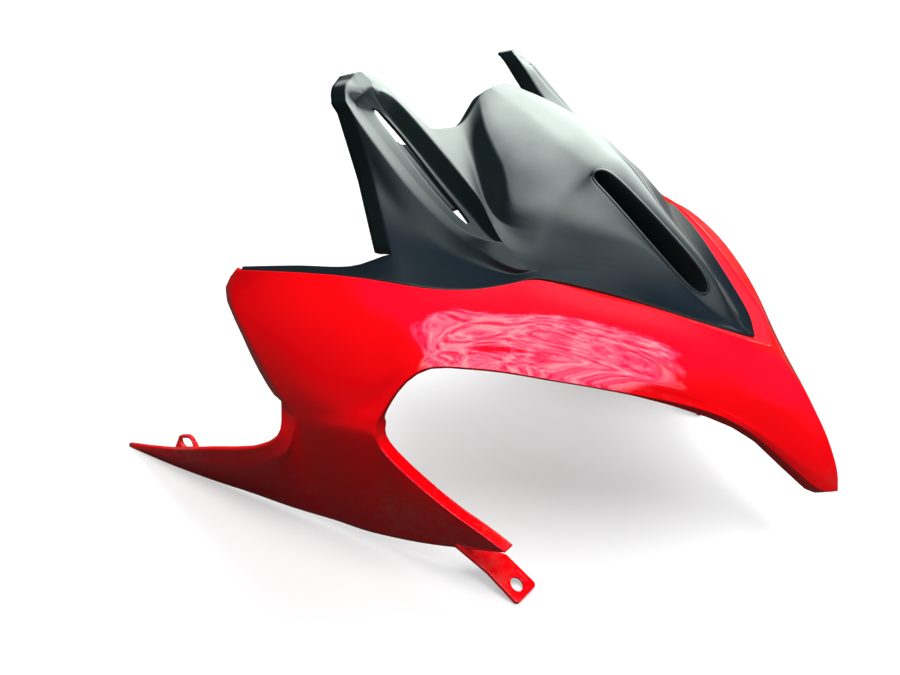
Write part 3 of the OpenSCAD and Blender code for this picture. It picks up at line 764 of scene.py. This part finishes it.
fade = addNode(tree, "ShaderNodeMapRange", {"interpolation_type": "SMOOTHSTEP", "From Min": near, "From Max": far,
                                            "To Min": dim, "To Max": full}, {"Value": away.outputs["Value"]})
glow = addNode(tree, "ShaderNodeEmission", {"Color": srgb("#ffffff")}, {"Strength": fade.outputs[0]})
lit = addNode(tree, "ShaderNodeAddShader", {}, {0: seen.outputs[0], 1: glow.outputs[0]})
mix = addNode(tree, "ShaderNodeMixShader", {},
              {0: path.outputs["Is Camera Ray"], 1: bounce.outputs[0], 2: lit.outputs[0]})
addNode(tree, "ShaderNodeOutputMaterial", {}, {"Surface": mix.outputs[0]})
floorMesh.materials.append(floorMaterial)

# Only the strip behind the fairing shows in its gloss; the others light it and are not mirrored
lamps = {
    "topSoftbox": {"place": (0.0, 1.0, 1.5), "size": (1.8, 1.2), "power": 44.0, "mirrored": False},
    "backStrip": {"place": (-0.1, 2.3, 0.8), "size": (1.8, 0.3), "power": 9.0, "mirrored": True},
    "sideSoftbox": {"place": (0.65, -0.5, 1.75), "size": (1.0, 1.0), "power": 44.0, "mirrored": False},
}
lampTarget = Vector((0, 0, 0.15))
for name, lamp in lamps.items():
    data = bpy.data.lights.new(name, "AREA")
    data.shape = "RECTANGLE"
    data.size, data.size_y = lamp["size"]
    data.energy = lamp["power"]
    light = addObject(name, data)
    light.location = lamp["place"]
    light.rotation_euler = (lampTarget - Vector(lamp["place"])).to_track_quat("-Z", "Y").to_euler()
    light.visible_glossy = lamp["mirrored"]

# Sky that the coat mirrors: blue overhead, broken cloud in front of the nose, and dull grey round it
sky = {
    "light": 0.24,
    "dull": "#8fa39c",
    "dullPower": 0.08,
    "blue": "#3468ff",
    "bluePower": 0.45,
    "blueWay": (0.42, 0.05, 0.9),
    "blueEdge": (0.55, 0.68),
    "cloud": "#fff4fa",
    "cloudPower": 10.0,
    "cloudScale": 11.0,
    "cloudCover": (0.36, 0.62),
    "cloudWay": (0.7, -0.45, 0.55),
    "cloudFade": (0.72, 0.86),
    "cloudEdge": (0.82, 0.9),
}
world = bpy.data.worlds.new("paleWorld")
bpy.context.scene.world = world
world.use_nodes = True
tree = world.node_tree
tree.nodes.clear()
path = addNode(tree, "ShaderNodeLightPath")
skyward = addNode(tree, "ShaderNodeTexCoord").outputs["Generated"]
cloud = addNode(tree, "ShaderNodeTexNoise", {"Scale": sky["cloudScale"], "Detail": 8.0, "Roughness": 0.72},
                {"Vector": skyward})
front = addNode(tree, "ShaderNodeVectorMath", {"operation": "DOT_PRODUCT", 1: sky["cloudWay"]}, {0: skyward})
start, full = sky["cloudFade"]
cloudy = addNode(tree, "ShaderNodeMapRange", {"From Min": start, "From Max": full}, {"Value": front.outputs["Value"]})
cover = addNode(tree, "ShaderNodeMath", {"operation": "MULTIPLY"}, {0: cloud.outputs[0], 1: cloudy.outputs[0]})
start, full = sky["cloudCover"]
broken = addNode(tree, "ShaderNodeMapRange", {"From Min": start, "From Max": full}, {"Value": cover.outputs[0]})
colour = addNode(tree, "ShaderNodeMix", {"data_type": "RGBA", 6: srgb(sky["blue"]), 7: srgb(sky["cloud"])},
                 {0: broken.outputs[0]})
overhead = addNode(tree, "ShaderNodeVectorMath", {"operation": "DOT_PRODUCT", 1: sky["blueWay"]}, {0: skyward})
start, full = sky["blueEdge"]
above = addNode(tree, "ShaderNodeMapRange", {"From Min": start, "From Max": full}, {"Value": overhead.outputs["Value"]})
start, full = sky["cloudEdge"]
ahead = addNode(tree, "ShaderNodeMapRange", {"From Min": start, "From Max": full}, {"Value": front.outputs["Value"]})
patch = addNode(tree, "ShaderNodeMath", {"operation": "MAXIMUM"}, {0: above.outputs[0], 1: ahead.outputs[0]})
tint = addNode(tree, "ShaderNodeMix", {"data_type": "RGBA", 6: srgb(sky["dull"])},
               {0: patch.outputs[0], 7: colour.outputs[2]})
power = addNode(tree, "ShaderNodeMapRange", {"To Min": sky["dullPower"], "To Max": sky["bluePower"]},
                {"Value": patch.outputs[0]})
bright = addNode(tree, "ShaderNodeMath", {"operation": "MULTIPLY_ADD", 1: sky["cloudPower"]},
                 {0: broken.outputs[0], 2: power.outputs[0]})
mirrored = addNode(tree, "ShaderNodeBackground", {}, {"Color": tint.outputs[2], "Strength": bright.outputs[0]})
lit = addNode(tree, "ShaderNodeBackground", {"Color": srgb("#ffffff"), "Strength": sky["light"]})
shown = addNode(tree, "ShaderNodeBackground", {"Color": srgb("#ffffff"), "Strength": 1.0})
glossed = addNode(tree, "ShaderNodeMixShader", {},
                  {0: path.outputs["Is Glossy Ray"], 1: lit.outputs[0], 2: mirrored.outputs[0]})
mix = addNode(tree, "ShaderNodeMixShader", {},
              {0: path.outputs["Is Camera Ray"], 1: glossed.outputs[0], 2: shown.outputs[0]})
addNode(tree, "ShaderNodeOutputWorld", {}, {"Surface": mix.outputs[0]})
bpy.context.scene.view_settings.view_transform = "Standard"
print("stage and light set")
